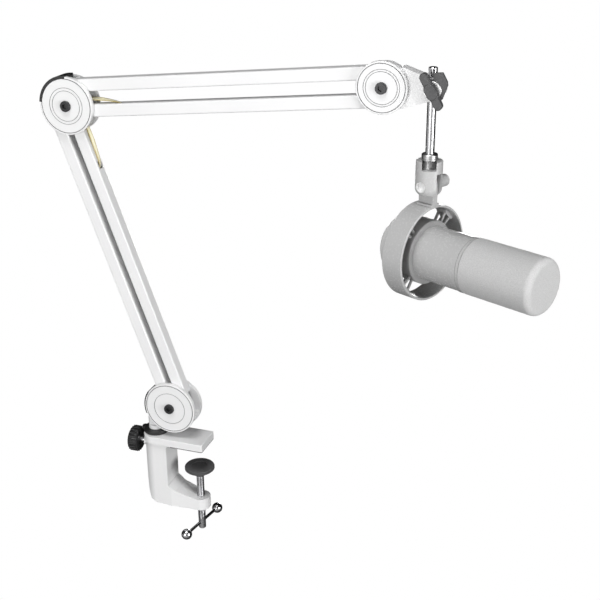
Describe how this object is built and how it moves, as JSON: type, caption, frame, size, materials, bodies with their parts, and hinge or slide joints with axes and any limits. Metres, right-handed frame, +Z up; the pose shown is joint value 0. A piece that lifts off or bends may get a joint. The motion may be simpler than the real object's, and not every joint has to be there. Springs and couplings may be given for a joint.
{
  "type": "condenser microphone on a desk boom arm",
  "caption": "End-address broadcast microphone in a shock-mount ring, hung from a parallel-bar boom arm that swivels in a screw clamp for a desk edge.",
  "frame": {"origin": "where the clamp screw axis meets the underside of the upper jaw pad, which rests on the desk", "axes": "+Z up along the clamp screw, +X from the clamp towards the microphone in the arm plane, +Y across the arm towards its rear plates"},
  "size_m": [0.6322, 0.1547, 0.6477],
  "materials": {
    "white_paint": "fine white powder coat, satin",
    "black_plastic": "moulded black nylon",
    "dark_plastic": "moulded dark grey nylon",
    "pad_rubber": "black rubber",
    "steel": "zinc plated",
    "black_screw": "black oxide",
    "chrome": "bright chrome",
    "thread_steel": "nickel plated thread",
    "washer_alloy": "turned",
    "spring_steel": "oiled spring wire",
    "yellow_strap": "translucent pale yellow",
    "mic_paint": "fine pale grey paint",
    "mic_plastic": "moulded grey nylon",
    "foam_grey": "open-cell foam",
    "grille_steel": "perforated steel",
    "capsule_brass": "turned brass",
    "board_green": "lacquered glass-fibre board"
  },
  "bodies": {
    "clamp": {"clamp_frame": "white_paint", "jaw_pad": "pad_rubber", "socket_collar": "black_plastic"},
    "lock": {"lock_knob": "black_plastic", "lock_screw": "steel"},
    "pad": {"pressure_pad": "dark_plastic", "pad_facing": "pad_rubber"},
    "spindle": {"clamp_spindle": "steel"},
    "tommy": {"tommy_bar": "chrome"},
    "base": {"base_bracket": "white_paint", "base_plates": "white_paint", "base_covers": "white_paint", "base_bolt": "black_screw", "base_pins": "steel", "base_wall": "black_plastic"},
    "lower_right": {"lower_right_bar": "white_paint", "lower_right_ends": "steel", "lower_spring": "spring_steel", "lower_strap": "yellow_strap"},
    "lower_left": {"lower_left_bar": "white_paint", "lower_left_ends": "steel"},
    "elbow": {"elbow_plates": "white_paint", "elbow_covers": "white_paint", "elbow_bolt": "black_screw", "elbow_pins": "steel", "elbow_wall": "black_plastic"},
    "upper_bottom": {"upper_bottom_bar": "white_paint", "upper_bottom_ends": "steel", "upper_spring": "spring_steel", "upper_strap": "yellow_strap"},
    "upper_top": {"upper_top_bar": "white_paint", "upper_top_ends": "steel"},
    "head": {"head_plates": "white_paint", "head_covers": "white_paint", "head_bolt": "black_screw", "head_pins": "steel", "head_bracket": "white_paint", "eye_bolt": "steel", "clamp_washer": "washer_alloy", "clamp_jaw": "dark_plastic"},
    "wing": {"wing_nut": "dark_plastic"},
    "rod": {"hanger_rod": "chrome", "thread_collar": "thread_steel"},
    "mount": {"mic_adapter": "mic_paint"},
    "pivot": {"pivot_screw": "mic_paint", "pivot_knob": "mic_paint"},
    "mic": {"yoke_ring": "mic_paint", "shock_struts": "mic_plastic", "cradle_ring": "mic_plastic", "body_shell": "mic_paint", "touch_button": "mic_plastic", "rear_cap": "mic_paint", "xlr_connector": "mic_plastic", "trim_rings": "mic_paint", "grille_basket": "grille_steel", "capsule": "capsule_brass", "circuit_board": "board_green"},
    "gain": {"gain_knob": "mic_plastic"},
    "windscreen": {"foam_windscreen": "foam_grey"}
  },
  "joints": [
    {"name": "post_swivel", "type": "hinge", "parent": "clamp", "child": "base", "pos_m": [-0.0604, 0, 0], "axis": [0, 0, 1], "continuous": true},
    {"name": "lock_turn", "type": "hinge", "parent": "clamp", "child": "lock", "pos_m": [-0.084, 0, -0.0068], "axis": [1, 0, 0], "range_deg": [-180, 180]},
    {"name": "pad_slide", "type": "slide", "parent": "clamp", "child": "pad", "axis": [0, 0, 1], "range_m": [-0.03, 0.017]},
    {"name": "spindle_turn", "type": "hinge", "parent": "pad", "child": "spindle", "pos_m": [0, 0, -0.06], "axis": [0, 0, 1], "range_deg": [-7200, 4080]},
    {"name": "tommy_slide", "type": "slide", "parent": "spindle", "child": "tommy", "axis": [0.1908, 0.9816, 0], "range_m": [-0.023, 0.023]},
    {"name": "lower_arm", "type": "hinge", "parent": "base", "child": "lower_right", "pos_m": [-0.01435, 0, 0.062], "axis": [0, 1, 0], "range_deg": [-25, 60]},
    {"name": "lower_link", "type": "hinge", "parent": "base", "child": "lower_left", "pos_m": [-0.03905, 0, 0.062], "axis": [0, 1, 0], "range_deg": [-25, 60]},
    {"name": "elbow_level", "type": "hinge", "parent": "lower_right", "child": "elbow", "pos_m": [-0.14395, 0, 0.43354], "axis": [0, 1, 0], "range_deg": [-60, 25]},
    {"name": "upper_arm", "type": "hinge", "parent": "elbow", "child": "upper_bottom", "pos_m": [-0.133, 0, 0.43699], "axis": [0, 1, 0], "range_deg": [-35, 45]},
    {"name": "upper_link", "type": "hinge", "parent": "elbow", "child": "upper_top", "pos_m": [-0.133, 0, 0.46799], "axis": [0, 1, 0], "range_deg": [-35, 45]},
    {"name": "head_level", "type": "hinge", "parent": "upper_bottom", "child": "head", "pos_m": [0.24128, 0, 0.47396], "axis": [0, 1, 0], "range_deg": [-45, 35]},
    {"name": "wing_turn", "type": "hinge", "parent": "head", "child": "wing", "pos_m": [0.29678, -0.015, 0.49006], "axis": [0, 1, 0], "range_deg": [-180, 180]},
    {"name": "rod_slide", "type": "slide", "parent": "head", "child": "rod", "axis": [0, 0, 1], "range_m": [-0.01, 0.05]},
    {"name": "mic_swivel", "type": "hinge", "parent": "rod", "child": "mount", "pos_m": [0.29428, 0, 0.41136], "axis": [0, 0, 1], "range_deg": [-180, 180]},
    {"name": "mic_tilt", "type": "hinge", "parent": "mount", "child": "mic", "pos_m": [0.29428, 0, 0.38286], "axis": [0.4462, 0.8949, 0], "range_deg": [-60, 60]},
    {"name": "pivot_turn", "type": "hinge", "parent": "mount", "child": "pivot", "pos_m": [0.29428, 0, 0.38286], "axis": [0.4462, 0.8949, 0], "range_deg": [-180, 180]},
    {"name": "gain_turn", "type": "hinge", "parent": "mic", "child": "gain", "pos_m": [0.25409, 0.02003, 0.28406], "axis": [0.8949, -0.4462, 0], "range_deg": [-150, 150]},
    {"name": "windscreen_pull", "type": "slide", "parent": "mic", "child": "windscreen", "axis": [0.8949, -0.4462, 0], "range_m": [0, 0.09]}
  ],
  "couplings": [
    {"joint": "pad_slide", "follows": "spindle_turn", "m_per_rad": 0.00023873},
    {"joint": "lower_link", "follows": "lower_arm", "ratio": 1},
    {"joint": "elbow_level", "follows": "lower_arm", "ratio": -1},
    {"joint": "upper_link", "follows": "upper_arm", "ratio": 1},
    {"joint": "head_level", "follows": "upper_arm", "ratio": -1}
  ]
}
